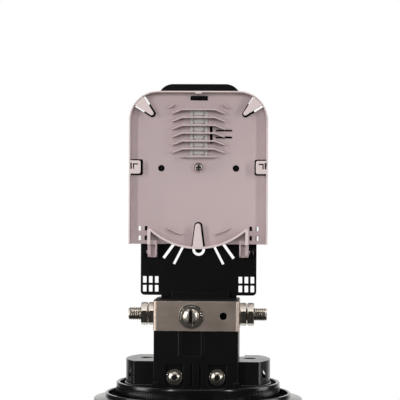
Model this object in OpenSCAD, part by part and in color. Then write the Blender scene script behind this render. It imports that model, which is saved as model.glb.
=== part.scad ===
// Dome splice closure, opened: the sealed base with its cable ports, the frame that stands on it,
// the strength-member bracket and the hinged splice tray. The dome cover is off.
// +Z is up and the tray faces -Y. The closure stands on the rim of its base at z = 0.

/* [Base] */
// Height of the clamp flange's edge above the standing face
flange_z = 52; // [46:1:64]
// Distance that the clamp flange stands out from the outer ring
flange_out = 8.75; // [7:0.25:12]
// Thickness of the clamp flange at its edge
flange_edge = 2; // [1.5:0.5:3]
// Height that the flange's underside climbs towards its edge
flange_rise = 7; // [5:1:9]
// Wall of the drum under the flange
drum_wall = 4.05; // [3:0.05:6]
// Outer diameter of the tall inner collar
collar_d = 125.5; // [124:0.5:128]
// Wall of the inner collar
collar_wall = 2.8; // [2.2:0.2:3.2]
// Height of the inner collar above the flange's edge
collar_h = 12.7; // [10:0.1:16]
// Width of the gasket groove between the collar and the outer ring
groove_w = 6.2; // [5.4:0.1:7]
// Wall of the outer ring
ring_wall = 2.3; // [1.8:0.1:2.6]
// Height of the outer ring above the flange's edge
ring_h = 4.4; // [3.5:0.1:6]
// Depth of the gasket groove below the flange's edge
groove_depth = 6; // [5:0.5:8]
// Gap on each side of the dome gasket in its groove
gasket_gap = 0.4; // [0.3:0.1:0.8]
// Width of the ledge that carries the seal
ledge_w = 8; // [6:1:10]
// Thickness of the ledge that carries the seal
ledge_t = 6; // [5:1:9]

/* [Seal] */
// Diameter of a cable port
port_d = 22; // [16:1:24]
// Radius at which the ports stand around the axis
port_r = 34; // [32:1:36]
// Wall of a port's collar
port_wall = 2.5; // [2:0.5:3]
// Thickness of the two pressure plates
press_t = 5; // [4:0.5:6]
// Height of the gel block
gel_h = 41; // [36:1:46]
// Diameter of the seal bolts
bolt_d = 6; // [5:1:6]
// Distance of the seal bolts from the housing's outer face
bolt_in = 15.7; // [14:0.1:17]

/* [Housing] */
// Gap between the housing and the base's inner collar
housing_gap = 4.6; // [3:0.1:6]
// Distance of the housing's front and rear flats from the axis
flat_y = 29; // [27:0.5:31]
// Height of the housing above the upper pressure plate
housing_h = 25.3; // [22:0.1:30]
// Wall of the housing
housing_wall = 3; // [2.5:0.5:4]
// Thickness of the housing's deck
deck_t = 3; // [2.5:0.5:4]
// Height of the housing's foot ring
foot_h = 7.3; // [6:0.1:9]
// Width by which the foot ring stands out
foot_step = 0.9; // [0.6:0.1:1.5]
// Diameter of the access holes in the deck
access_d = 9.6; // [8:0.2:11]

/* [Column] */
// Width of the column below the bracket
column_w = 63.4; // [62:0.2:66]
// Distance of the column's front from the axis
column_front = 36.5; // [35:0.5:39]
// Distance that the column reaches behind the axis
column_rear = 4; // [2:0.5:8]
// Wall of the column
column_wall = 3.2; // [2.6:0.2:4]
// Height of the column's top above the housing's deck
column_h = 46.7; // [44:0.1:52]
// Thickness of the lip over the bracket
lip_t = 0.9; // [0.8:0.1:2]
// Side distance of the channel's middle from the axis
channel_x = -3.2; // [-5:0.1:0]
// Width of the channel on the column's front
channel_w = 14.4; // [12:0.2:18]
// Side distance of the two foot screws from the middle
foot_screw_x = 16; // [16:0.5:17]
// Depth of the pocket round the foot screws
pocket_t = 2.2; // [1.5:0.1:3]
// Diameter of the foot screws' washers
foot_washer_d = 12.2; // [11:0.2:12.6]

/* [Bracket] */
// Height of the steel bracket
bracket_h = 22.5; // [20:0.5:26]
// Thickness of the bracket's sheet
bracket_t = 2; // [1.5:0.5:2.5]
// Inner radius of the bracket's two bends
bend_r = 0.6; // [0.4:0.1:1.5]
// Distance that the bracket's sides reach behind the axis
bracket_rear = 2; // [0:0.5:4]
// Diameter of the spare hole in the bracket
spare_d = 5.6; // [4:0.2:7]
// Side distance of the spare hole from the middle
spare_x = 20.6; // [18:0.2:24]
// Side distance of the clamping screw from the middle
clamp_x = -3.6; // [-6:0.2:0]
// Diameter of the clamping screw's head
clamp_head_d = 12; // [10:0.5:13]

/* [Studs] */
// Diameter of the threaded studs
stud_d = 10; // [9.8:0.1:11]
// Diameter of the studs at the core of their thread, inside the nuts
stud_core_d = 9.2; // [8:0.1:9.4]
// Length of a stud outside the bracket
stud_free = 20.6; // [18:0.2:26]
// Distance of the stud axis in front of the closure's axis
stud_y = 10; // [8:0.5:14]
// Width across the flats of the thin nuts
nut_af = 16; // [15:1:17]
// Thickness of a thin nut
nut_t = 5.3; // [4.5:0.1:6]
// Gap between the two nuts of a stud
nut_gap = 0.4; // [0.3:0.1:1]

/* [Carrier plate] */
// Width of the carrier plate
plate_w = 89; // [87:0.5:92]
// Thickness of the carrier plate
plate_t = 3; // [2:0.5:3]
// Height of the plate's shoulder above its lower edge
plate_h = 153.3; // [150:0.1:158]
// Radius of the plate's upper corners
plate_r = 22; // [18:1:26]
// Width of the tab on the plate's top
tab_w = 64.6; // [58:0.2:70]
// Height of the tab above the plate's shoulder
tab_h = 9; // [6:0.5:12]
// Radius of the tab's corners
tab_r = 12.3; // [10:0.1:14]
// Gap from the column's top to the plate's lower edge
neck_h = 1.7; // [1.2:0.1:4]
// Left end of the neck, from the middle
neck_left = 28.6; // [26:0.2:29.4]
// Right end of the neck, from the middle
neck_right = 29.4; // [26:0.2:29.4]

/* [Splice tray] */
// Width of the tray
tray_w = 105.8; // [104:0.2:110]
// Height of the tray, without its lower arc
tray_h = 116.8; // [114:0.2:120]
// Radius of the tray's upper corners
tray_r = 22.2; // [18:0.2:26]
// Thickness of the tray's floor
floor_t = 1.5; // [1.2:0.1:2]
// Height of the tray's walls above its floor
wall_h = 8; // [6:0.5:10]
// Thickness of the tray's walls
wall_t = 1.1; // [0.9:0.1:1.5]
// Gap between the carrier plate and the tray's floor
tray_gap = 3.5; // [3:0.5:5]
// Radius of the arc wall along the bottom
arc_r = 55.5; // [54:0.5:58]
// Depth of the arc below the tray's lower edge
arc_drop = 3.6; // [3:0.1:4.4]
// Thickness of the arc wall
arc_t = 1.6; // [1.2:0.1:2]
// Gap in the floor around each fibre retainer
retainer_gap = 1.1; // [0.8:0.1:1.5]

/* [Splice comb] */
// Number of bent ribs
rib_count = 6; // [4:1:6]
// Pitch of the ribs
rib_pitch = 6; // [5:0.1:6.4]
// Thickness of a rib
rib_t = 1.1; // [0.9:0.1:1.4]
// Half width of the ribs
rib_half = 20; // [17:0.5:22]
// Half width of the straight middle of a rib
rib_flat = 12.4; // [10:0.2:14]
// Drop of the ribs' ends
rib_drop = 3; // [2:0.5:4]
// Distance of the first rib below the tray's top
rib_top = 13.5; // [12:0.5:16]
// Width of the splice holder strip
strip_w = 13.3; // [11:0.1:15]
// Thickness of the splice holder strip
strip_t = 1.2; // [0.8:0.1:1.5]

/* [Hinge] */
// Distance of the hinge axis below the tray's lower edge
hinge_drop = 6.3; // [6:0.1:8]
// Distance of the hinge axis in front of the carrier plate
hinge_out = 5.5; // [5:0.1:7]
// Diameter of the hinge pins
pin_d = 2.6; // [2:0.1:3]
// Length of the hinge pins
pin_len = 3.6; // [3:0.2:4]
// Radius of the rounded leg ends
leg_r = 3.9; // [3.4:0.1:4.4]
// Width of a leg
leg_w = 7.1; // [6:0.1:8]
// Distance of a leg's outer face from the middle
leg_x = 38.6; // [37:0.1:39.4]
// Width of a hinge eye on the carrier plate
eye_w = 2.4; // [2:0.2:3]

/* [Fits] */
// Gap between parts that are placed beside each other
gap = 0.3; // [0.2:0.05:0.4]
// Radial clearance of a turning or screwed fit
fit = 0.05; // [0.03:0.01:0.09]

/* [Hidden] */
$fn = 96;
over = 1;

// Heights of the stack inside the base
seal_z = ledge_t;
gel_z = seal_z + press_t;
upper_z = gel_z + gel_h;
housing_z = upper_z + press_t;
deck_z = housing_z + housing_h;
column_top = deck_z + column_h;
groove_in = collar_d / 2;
groove_out = groove_in + groove_w;
ring_r = groove_out + ring_wall;
flange_r = ring_r + flange_out;
bore_r = groove_in - collar_wall;
drum_r = bore_r + drum_wall;
ledge_r = bore_r - ledge_w;
gasket_d = groove_w - 2 * gasket_gap;
housing_r = bore_r - housing_gap;
bolt_r = housing_r - bolt_in;
groove_z = flange_z - groove_depth;

// Column, bracket and studs
bracket_top = column_top - lip_t;
bracket_z = bracket_top - bracket_h;
bracket_half = column_w / 2 + 0.4;
bracket_front = column_front + 1;
core_half = bracket_half - bracket_t;
core_front = bracket_front - bracket_t;
stud_z = (bracket_z + bracket_top) / 2;
clamp_z = stud_z;
foot_screw_z = housing_z + 13.9;
foot_screw_r = 2.1;
foot_washer_t = 1.2;
pocket_half = foot_screw_x + foot_washer_d / 2 + 0.9;
foot_washer_y = -column_front + pocket_t;
plate_screw_r = 1.7;
plate_screw_x = 15;
plate_screw_z = column_top - 8;
neck_depth = 20;

// Carrier plate, tray and hinge, as heights above the standing face
plate_z = column_top + neck_h;
plate_top = plate_z + plate_h;
plate_half = plate_w / 2;
tray_z = plate_z + 39.4;
tray_top = tray_z + tray_h;
tray_half = tray_w / 2;
tray_back = plate_t + tray_gap;
floor_front = tray_back + floor_t;
rim_front = floor_front + wall_h;
arc_z = tray_z - arc_drop + arc_r;
arc_end_z = tray_z + 11.8;
screw_z = tray_top - 58.1;
hinge_z = tray_z - hinge_drop;
hinge_y = -plate_t - hinge_out;
eye_x = leg_x + 1.1;
eye_r = pin_d / 2 + 1.8;
rib_z = tray_top - rib_top;
strip_top = rib_z - 0.8;
strip_bottom = rib_z - rib_count * rib_pitch - 1.4;
finger_w = 8.4;

// ---- shapes that repeat ----

// Extrudes an outline drawn in the XZ plane from y_back towards the front
module towards_front(y_back, depth) {
    translate([0, y_back, 0]) rotate([90, 0, 0]) linear_extrude(depth) children();
}

// Extrudes an outline drawn in the YZ plane from x_low to the right
module towards_right(x_low, width) {
    translate([x_low, 0, 0]) rotate([90, 0, 90]) linear_extrude(width) children();
}

// Cylinder whose axis runs from y_back towards the front
module front_cylinder(x, z, r, y_back, depth) {
    translate([x, y_back, z]) rotate([90, 0, 0]) cylinder(h = depth, r = r);
}

module rectangle(x0, x1, z0, z1) {
    translate([x0, z0]) square([x1 - x0, z1 - z0]);
}

// Rectangle with corners rounded by r
module round_rectangle(x0, x1, z0, z1, r) {
    rectangle(x0 + r, x1 - r, z0, z1);
    rectangle(x0, x1, z0 + r, z1 - r);
    for (x = [x0 + r, x1 - r], z = [z0 + r, z1 - r]) translate([x, z]) circle(r);
}

// Slot with round or square ends between two points
module bar_2d(p, q, w) {
    d = q - p;
    translate(p) rotate(atan2(d[1], d[0])) translate([0, -w / 2]) square([norm(d), w]);
}

// Tongue that narrows from its root to a round tip, grown by g all round
module tongue_2d(root, tip, root_half, tip_half, g) {
    along = (tip - root) / norm(tip - root);
    side = [-along[1], along[0]];
    polygon([
        root + side * (root_half + g), tip + side * (tip_half + g),
        tip - side * (tip_half + g), root - side * (root_half + g),
    ]);
    translate(tip) circle(tip_half + g);
}

// ---- base and seal ----

module base_shell() {
    flange_top = flange_z + 1.2;
    drum_top = flange_z - flange_edge - flange_rise;
    color("#15151a") difference() {
        rotate_extrude() polygon([
            [ledge_r, 0], [drum_r - 1.5, 0], [drum_r, 1.5], [drum_r, drum_top - 3],
            [drum_r + 2.5, drum_top], [flange_r, flange_z - flange_edge],
            [flange_r, flange_z], [ring_r, flange_top], [ring_r, flange_z + ring_h - 0.5],
            [ring_r - 0.5, flange_z + ring_h], [groove_out, flange_z + ring_h],
            [groove_out, groove_z], [groove_in, groove_z],
            [groove_in, flange_z + collar_h - 0.8], [groove_in - 0.8, flange_z + collar_h],
            [bore_r, flange_z + collar_h], [bore_r, ledge_t], [ledge_r, ledge_t],
        ]);
        for (a = [25, 155]) rotate([0, 0, a - 90])
            translate([-1, -groove_in - 0.2, flange_z + ring_h + 1]) cube([2, 1, collar_h]);
    }
}

module dome_gasket() {
    middle = (groove_in + groove_out) / 2;
    color("#2b2b2b") rotate_extrude() translate([middle, groove_z + gasket_d / 2]) circle(d = gasket_d);
}

// Places children at the four cable ports
module at_ports(angles = [45, 135, 225, 315]) {
    for (a = angles) rotate([0, 0, a]) translate([port_r, 0, 0]) children();
}

// Places children at the seal bolts, which leave the front free for the column
module at_bolts() {
    for (a = [0, 90, 180]) rotate([0, 0, a]) translate([bolt_r, 0, 0]) children();
}

module lower_pressure_plate() {
    color("#1b1b20") difference() {
        union() {
            translate([0, 0, seal_z]) cylinder(h = press_t, r = bore_r - gap);
            at_ports() translate([0, 0, over]) cylinder(h = seal_z, d = port_d + 2 * port_wall);
        }
        at_ports() cylinder(h = gel_z + over, d = port_d);
        at_bolts() cylinder(h = gel_z + over, r = bolt_d / 2 + fit);
    }
}

module gel_block() {
    color("#7f8a9a") difference() {
        translate([0, 0, gel_z]) cylinder(h = gel_h, r = bore_r - gap);
        at_ports() translate([0, 0, gel_z - over]) cylinder(h = gel_h + 2 * over, d = port_d);
        at_bolts() translate([0, 0, gel_z - over]) cylinder(h = gel_h + 2 * over, r = bolt_d / 2 + fit);
    }
}

module upper_pressure_plate() {
    color("#1b1b20") difference() {
        translate([0, 0, upper_z]) cylinder(h = press_t, r = bore_r - gap);
        at_ports() translate([0, 0, upper_z - over]) cylinder(h = press_t + 2 * over, d = port_d);
        at_bolts() translate([0, 0, upper_z - over]) cylinder(h = press_t + 2 * over, r = bolt_d / 2 + fit);
    }
}

// Rubber plugs close the two front ports; the two rear ports are open for cables
module port_plugs() {
    color("#202024") at_ports([225, 315]) {
        translate([0, 0, over]) cylinder(h = housing_z - over, r = port_d / 2 - fit);
    }
}

module seal_bolts() {
    head_h = 4;
    color("#b9b5ac") at_bolts() {
        translate([0, 0, seal_z - head_h + 1]) cylinder(h = head_h - 1, r = bolt_d * 0.9);
        translate([0, 0, seal_z - over]) cylinder(h = housing_z + 5 - seal_z + over, r = bolt_d / 2);
    }
}

// ---- housing and column ----

module housing_outline(r) {
    intersection() {
        circle(r);
        square([4 * r, 2 * flat_y], center = true);
    }
}

// Leaning window through both flanks of the housing
module window_2d() {
    wx = housing_r - 4.4;
    polygon([
        for (p = [[1.4, 19.4], [1.5, 15.5], [1, 11.9], [-0.9, 11.6], [-1.2, 15], [0.5, 18.3]])
            [-wx + p[0], housing_z + p[1]]
    ]);
}

module seal_housing() {
    r = housing_r;
    color("#17171b") difference() {
        union() {
            translate([0, 0, housing_z]) cylinder(h = foot_h, r = r + foot_step);
            translate([0, 0, housing_z]) linear_extrude(housing_h) housing_outline(r);
        }
        // hollow inside, with solid bosses left over the bolts
        difference() {
            translate([0, 0, housing_z - over])
                linear_extrude(housing_h - deck_t + over) intersection() {
                    circle(r - housing_wall);
                    square([4 * r, 2 * (flat_y - housing_wall)], center = true);
                }
            at_bolts() translate([0, 0, housing_z - 2 * over]) cylinder(h = housing_h, r = access_d / 2 + 2);
        }
        at_bolts() translate([0, 0, housing_z + 7]) cylinder(h = housing_h, d = access_d);
        at_bolts() translate([0, 0, housing_z - over]) cylinder(h = housing_h, r = bolt_d / 2 + fit);
        // cable ways over the two rear ports
        at_ports([45, 135]) translate([0, 0, housing_z - over]) cylinder(h = housing_h + 2 * over, d = port_d + 2);
        for (m = [0, 1]) mirror([m, 0, 0]) towards_front(2 * r, 4 * r) window_2d();
        // seat for the column's foot, in front
        translate([-column_w / 2 - 0.8 - gap, -2 * r, housing_z - over])
            cube([column_w + 1.6 + 2 * gap, 2 * r - flat_y, foot_h + 2 * over]);
        for (x = [-foot_screw_x, foot_screw_x])
            front_cylinder(x, foot_screw_z, foot_screw_r + fit, -flat_y + housing_wall + over, housing_wall + 2 * over);
    }
}

module frame_column() {
    low = column_w / 2;
    color("#101013") difference() {
        union() {
            // foot in front of the housing's flat
            translate([-low, -column_front, housing_z]) cube([column_w, column_front - flat_y, deck_z - housing_z + over]);
            // shaft on the deck, narrower where the bracket wraps round it
            translate([-low, -column_front, deck_z]) cube([column_w, column_front + column_rear, bracket_z - deck_z]);
            translate([0, 0, bracket_z - over]) linear_extrude(bracket_h + 2 * over)
                bent_plan(core_half - fit, core_front, column_rear, bend_r + fit);
            translate([-low, -column_front, bracket_top]) cube([column_w, column_front + column_rear, lip_t]);
            // feet that widen the column on the pressure plate
            for (side = [0, 1]) mirror([side, 0, 0]) translate([low - 3.2, -column_front - 0.9, housing_z])
                cube([4, column_front - flat_y + 0.9 - gap, foot_h + 3]);
            // collar in front of the plate's neck
            translate([-20.5, -plate_t - 4, column_top - over]) cube([44, 4 - gap, 4.6 + over]);
            // ribs beside the channel
            for (side = [-1, 1]) translate([channel_x + side * (channel_w / 2 + 1.3) - 1.3, -column_front - 0.5, deck_z + 4.5])
                cube([2.6, 1, bracket_z - deck_z - 4.5]);
        }
        // hollow, open at the rear, with two blocks left for the neck's screws
        difference() {
            translate([-low + column_wall, -column_front + 2 * column_wall, deck_z + column_wall])
                cube([column_w - 2 * column_wall, column_front + column_rear, column_h - 2 * column_wall]);
            for (x = [-plate_screw_x, plate_screw_x]) translate([x - 4, -plate_t - 10, plate_screw_z - 5])
                cube([8, 10, 20]);
        }
        // shallow channel down the front
        translate([channel_x - channel_w / 2, -column_front - over, deck_z + 4.5])
            cube([channel_w, 1.8, bracket_z - deck_z - 4.5 - 0.8]);
        // pocket round the foot screws, with three ribs left between them
        translate([-pocket_half, -column_front - over, housing_z + 6.3]) difference() {
            cube([2 * pocket_half, over + pocket_t, 17]);
            for (x = [-9.4, -2.8, 3.8]) translate([pocket_half + x, 0.4, -over])
                cube([5.6, over + pocket_t + 2, 17 + 2 * over]);
        }
        // screw holes, stud holes and the slot for the neck
        for (x = [-foot_screw_x, foot_screw_x])
            front_cylinder(x, foot_screw_z, foot_screw_r + 0.4, -flat_y + over, column_front);
        for (side = [-1, 1]) translate([side * (core_half - column_wall - over), -stud_y, stud_z])
            rotate([0, 90, 0]) translate([0, 0, -column_wall - over]) cylinder(h = 2 * column_wall + 4 * over, r = stud_core_d / 2 + fit);
        front_cylinder(clamp_x, clamp_z, 3 + fit, 0, column_front + over);
        translate([-neck_left - fit, -plate_t - fit, column_top - neck_depth - fit])
            cube([neck_left + neck_right + 2 * fit, column_rear + plate_t + over, column_h]);
        front_cylinder(spare_x, clamp_z, spare_d / 2 + 0.4, -core_front + 2 * column_wall, column_front);
        for (x = [-plate_screw_x, plate_screw_x])
            front_cylinder(x, plate_screw_z, plate_screw_r + fit, 0, plate_t + 8);
    }
}

// ---- fasteners of the column ----

module foot_washers() {
    color("#8f8a80") for (x = [-foot_screw_x, foot_screw_x]) difference() {
        front_cylinder(x, foot_screw_z, foot_washer_d / 2, foot_washer_y, foot_washer_t);
        front_cylinder(x, foot_screw_z, foot_screw_r + fit, 0, column_front * 2);
    }
}

module foot_screws() {
    seat = foot_washer_y - foot_washer_t;
    color("#a39e94") for (x = [-foot_screw_x, foot_screw_x]) difference() {
        union() {
            front_cylinder(x, foot_screw_z, 4.4, seat, 2.6);
            front_cylinder(x, foot_screw_z, foot_screw_r, -flat_y + housing_wall, -seat - flat_y + housing_wall + over);
        }
        front_cylinder(x, foot_screw_z, 1.9, seat - 1, 3);
    }
}

// Plan of a sheet bent round the column's front: rounded at the front, square at the rear
module bent_plan(half, front, rear, r) {
    translate([-half, r - front]) square([2 * half, front + rear - r]);
    translate([r - half, -front]) square([2 * (half - r), front]);
    for (side = [-1, 1]) translate([side * (half - r), r - front]) circle(r);
}

module strength_bracket() {
    color("#a59d94") difference() {
        translate([0, 0, bracket_z + fit]) linear_extrude(bracket_h - 2 * fit)
            bent_plan(bracket_half, bracket_front, bracket_rear, bend_r + bracket_t);
        translate([0, 0, bracket_z - over]) linear_extrude(bracket_h + 2 * over)
            bent_plan(core_half, core_front, bracket_rear + over, bend_r);
        front_cylinder(spare_x, clamp_z, spare_d / 2, 0, bracket_front + over);
        front_cylinder(clamp_x, clamp_z, 3 + fit, 0, bracket_front + over);
        for (side = [0, 1]) mirror([side, 0, 0]) translate([core_half - over, -stud_y, stud_z])
            rotate([0, 90, 0]) cylinder(h = bracket_t + 2 * over, r = stud_core_d / 2 + fit);
    }
}

module clamp_flat_washer() {
    color("#b3aca2") difference() {
        front_cylinder(clamp_x, clamp_z, 9.3, -bracket_front, 1.2);
        front_cylinder(clamp_x, clamp_z, 3 + fit, 0, 2 * bracket_front);
    }
}

module clamp_spring_washer() {
    color("#c2bbb0") difference() {
        front_cylinder(clamp_x, clamp_z, 7.6, -bracket_front - 1.2, 1.4);
        front_cylinder(clamp_x, clamp_z, 3 + fit, 0, 2 * bracket_front);
        translate([clamp_x, -bracket_front - 2.6, clamp_z - 8]) rotate([0, 20, 0]) cube([0.8, 4, 6], center = true);
    }
}

module clamp_screw() {
    seat = -bracket_front - 2.6;
    color("#c9c2b6") difference() {
        union() {
            front_cylinder(clamp_x, clamp_z, clamp_head_d / 2, seat, 2.2);
            front_cylinder(clamp_x, clamp_z, clamp_head_d / 2 - 0.7, seat, 3);
            front_cylinder(clamp_x, clamp_z, 3, seat + 14, 14 + over);
        }
        translate([clamp_x - 1.4, seat - 3 - over, clamp_z - clamp_head_d]) cube([2.8, 1.9 + over, 2 * clamp_head_d]);
    }
}

module stud() {
    inside = 12;
    chamfer = 0.8;
    nuts = 2 * nut_t + nut_gap;
    translate([0, -stud_y, stud_z]) rotate([0, 90, 0]) {
        translate([0, 0, bracket_half - inside]) cylinder(h = inside + nuts + over, d = stud_core_d);
        translate([0, 0, bracket_half + nuts]) cylinder(h = stud_free - nuts - chamfer, d = stud_d);
        translate([0, 0, bracket_half + stud_free - chamfer])
            cylinder(h = chamfer, r1 = stud_d / 2, r2 = stud_d / 2 - chamfer);
    }
}

module stud_left() {
    color("#a8a297") mirror([1, 0, 0]) stud();
}

module stud_right() {
    color("#a8a297") stud();
}

module thin_nuts() {
    color("#b5afa5") for (side = [0, 1], i = [0, 1]) mirror([side, 0, 0])
        translate([bracket_half + i * (nut_t + nut_gap), -stud_y, stud_z]) rotate([0, 90, 0]) difference() {
            intersection() {
                rotate([0, 0, 13]) cylinder(h = nut_t, d = nut_af / cos(30), $fn = 6);
                union() {
                    cylinder(h = nut_t / 2, r1 = nut_af / 2 + 0.2, r2 = nut_af / 2 + 0.2 + nut_t / 2);
                    translate([0, 0, nut_t / 2])
                        cylinder(h = nut_t / 2, r1 = nut_af / 2 + 0.2 + nut_t / 2, r2 = nut_af / 2 + 0.2);
                }
            }
            translate([0, 0, -over]) cylinder(h = nut_t + 2 * over, r = stud_core_d / 2 + fit);
        }
}

// ---- carrier plate ----

module plate_outline() {
    rectangle(-plate_half, plate_half, plate_z + 3, plate_top - plate_r);
    rectangle(-plate_half + plate_r, plate_half - plate_r, plate_z + 3, plate_top);
    for (side = [-1, 1]) {
        translate([side * (plate_half - plate_r), plate_top - plate_r]) circle(plate_r);
        translate([side * (plate_half - 3), plate_z + 3]) circle(3);
    }
    rectangle(-plate_half + 3, plate_half - 3, plate_z, plate_z + 4);
    // ears behind the tray's side clips
    rectangle(-tray_half + 0.6, tray_half - 0.6, screw_z - 6.6, screw_z + 6.6);
    // tab on top
    rectangle(-tab_w / 2, tab_w / 2, plate_top - 1, plate_top + tab_h - tab_r + 6);
    intersection() {
        round_rectangle(-tab_w / 2, tab_w / 2, plate_top - 2 * tab_r, plate_top + tab_h, tab_r);
        rectangle(-tab_w / 2, tab_w / 2, plate_top, plate_top + tab_h);
    }
}

// Radial slots that fan out below the tray, the half-ring slot and the tie holes
module plate_slots() {
    for (side = [-1, 1]) {
        bar_2d([side * 17.2, tray_z + 2.5], [side * 27, tray_z - 11], 2.2);
        bar_2d([side * 11, tray_z], [side * 19, tray_z - 15.5], 1.9);
        for (i = [0:2], j = [0:1]) {
            x = side * (32.2 + 4.6 * i);
            z = plate_z + 2.5 + 6.8 * j;
            rectangle(x - 1.42, x + 1.42, z, z + 5.1);
        }
    }
    translate([0, tray_z - 4.2]) intersection() {
        difference() {
            circle(4.9);
            circle(2.8);
        }
        rectangle(-6, 6, -6, 1.5);
    }
}

// Eye of the tray's hinge, one each side, open towards the front for the pin to snap in
module hinge_eye() {
    difference() {
        union() {
            towards_right(eye_x, eye_w) translate([hinge_y, hinge_z]) circle(eye_r);
            translate([eye_x, hinge_y, hinge_z - eye_r]) cube([eye_w, -plate_t + 0.5 - hinge_y, 2 * eye_r]);
        }
        translate([eye_x - over, hinge_y, hinge_z]) rotate([0, 90, 0]) cylinder(h = eye_w + 2 * over, r = pin_d / 2 + fit);
        translate([eye_x - over, hinge_y, hinge_z]) rotate([130, 0, 0])
            translate([0, 0, -pin_d / 2 + 0.3]) cube([eye_w + 2 * over, eye_r + over, pin_d - 0.6]);
    }
}

module carrier_plate() {
    boss_r = 4.6;
    color("#131316") difference() {
        union() {
            towards_front(0, plate_t) difference() {
                plate_outline();
                plate_slots();
            }
            // neck that goes down into the column
            towards_front(0, plate_t) rectangle(-neck_left, neck_right, column_top - neck_depth, plate_z + over);
            // boss under the tray's screw, hook through the tray's top slot and two stops
            front_cylinder(0, screw_z, boss_r, -plate_t + over, tray_gap + over - gap);
            towards_front(-plate_t + over, tray_gap + floor_t + 2 + over)
                rectangle(-5, 5, tray_top - 5.9, tray_top - 4.1);
            for (side = [-1, 1]) front_cylinder(side * 28.6, screw_z - 0.7, 3.4, -plate_t + over, tray_gap + over - gap);
            for (side = [0, 1]) mirror([side, 0, 0]) hinge_eye();
            // stiffening ribs on the back
            for (x = [-30, 30]) towards_front(1.6, 2.6) rectangle(x - 0.8, x + 0.8, plate_z + 20, plate_top - 22);
        }
        front_cylinder(0, screw_z, 2, over + 2, tray_back + 3);
        for (x = [-plate_screw_x, plate_screw_x])
            front_cylinder(x, plate_screw_z, plate_screw_r + fit, over, plate_t + 2 * over);
    }
}

// Two screws hold the plate's neck from behind
module plate_screws() {
    color("#8f8a80") for (x = [-plate_screw_x, plate_screw_x]) {
        front_cylinder(x, plate_screw_z, 3.2, 2, 2);
        front_cylinder(x, plate_screw_z, plate_screw_r, over, plate_t + over + 6);
    }
}

// ---- splice tray ----

module tray_outline(inset = 0) {
    w = tray_half - inset;
    r = tray_r - inset;
    top = tray_top - inset;
    rectangle(-w, w, tray_z, top - r);
    rectangle(-w + r, w - r, tray_z, top);
    for (side = [-1, 1]) translate([side * (w - r), top - r]) circle(r);
}

// Part of the tray below its straight edge, bounded by the arc
module arc_floor() {
    intersection() {
        translate([0, arc_z]) circle(arc_r);
        rectangle(-leg_x, leg_x, tray_z - 2 * arc_drop, tray_z + over);
    }
}

module arc_wall_2d() {
    intersection() {
        translate([0, arc_z]) difference() {
            circle(arc_r);
            circle(arc_r - arc_t);
        }
        rectangle(-leg_x, leg_x, tray_z - 2 * arc_drop, arc_end_z);
    }
}

// Fibre retainers that lie over the floor: two in the upper corners, one below
module retainers_2d(g) {
    for (side = [-1, 1]) {
        m = tray_half - tray_r;
        corner = [side * (m + tray_r * 0.66), tray_top - tray_r * 0.34];
        tongue_2d(corner, corner + [side * -9.7, -9.6], 4.6, 1.5, g);
    }
    tongue_2d([0, tray_z - arc_drop + 0.6], [0, tray_z + 13.8], 4.2, 2.1, g);
}

module side_clips_2d(g) {
    for (side = [0, 1]) mirror([side, 0])
        round_rectangle(-tray_half - 3, -tray_half + 9 + g, screw_z - 5 - g, screw_z + 5 + g, 1.5);
}

// Slots in a side clip, beside the wall and round its latch face
module clip_slots_2d() {
    for (side = [0, 1]) mirror([side, 0]) translate([-tray_half, screw_z]) {
        rectangle(1.2, 2.3, -1.5, 3.4);
        rectangle(3.1, 4, -1.5, 2.8);
        rectangle(3.1, 6.9, 1.9, 2.8);
    }
}

// Corner line of the bent ribs, z0 above the standing face
module rib_2d(z0) {
    polygon([
        [-rib_half, z0 - rib_drop], [-rib_flat, z0], [rib_flat, z0], [rib_half, z0 - rib_drop],
        [rib_half, z0 - rib_drop - rib_t], [rib_flat, z0 - rib_t], [-rib_flat, z0 - rib_t],
        [-rib_half, z0 - rib_drop - rib_t],
    ]);
}

// Comb: bent ribs with a hump each, a straight last one, all bridging the holder strip
module comb() {
    difference() {
        union() {
            towards_front(-floor_front + 0.2, wall_h - 0.6) for (i = [0:rib_count - 1]) rib_2d(rib_z - i * rib_pitch);
            towards_front(-floor_front + 0.2, wall_h - 2) {
                z = rib_z - rib_count * rib_pitch;
                rectangle(-rib_flat - 1, rib_flat + 1, z - rib_t, z);
            }
            towards_front(-floor_front + 0.2, wall_h - 2.4) for (i = [1:rib_count]) {
                z = rib_z - i * rib_pitch;
                rectangle(-2.5, 2.5, z - over / 2, z + 1);
            }
        }
        translate([-strip_w / 2 - fit, -floor_front - strip_t - fit, strip_bottom - over])
            cube([strip_w + 2 * fit, strip_t + over, strip_top - strip_bottom + 2 * over]);
    }
}

// Guide ridges on the floor, beside the comb and above the arc
module guide_ridges() {
    towards_front(-floor_front + 0.2, 4.2) for (side = [-1, 1]) {
        bar_2d([side * 23, tray_top - 13], [side * 18.8, tray_top - 10.2], 1);
        intersection() {
            translate([0, arc_z]) difference() {
                circle(arc_r - 9);
                circle(arc_r - 10);
            }
            rectangle(side > 0 ? 12.4 : -23.4, side > 0 ? 23.4 : -12.4, tray_z, arc_end_z + 8);
        }
    }
}

// Holes through the floor: screw, plugs, hook, snap tongue and cable ties
module floor_holes() {
    for (side = [-1, 1]) {
        translate([side * 28.6, screw_z - 0.7]) circle(2.5);
        for (x = [40.1, 44.9], z = [tray_z + 11.9, tray_z + 4.6])
            rectangle(side * x - 1, side * x + 1, z - 1.7, z + 1.7);
    }
    translate([0, screw_z]) circle(1.6);
    rectangle(-6.5, 6.8, tray_top - 6.8, tray_top - 3.4);
    rectangle(8.5, 10.5, rib_z - 26.2, rib_z - 12.9);
    for (z = [rib_z - 16.4, rib_z - 21.7]) rectangle(12.9, 25.6, z - 0.6, z + 0.6);
}

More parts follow.
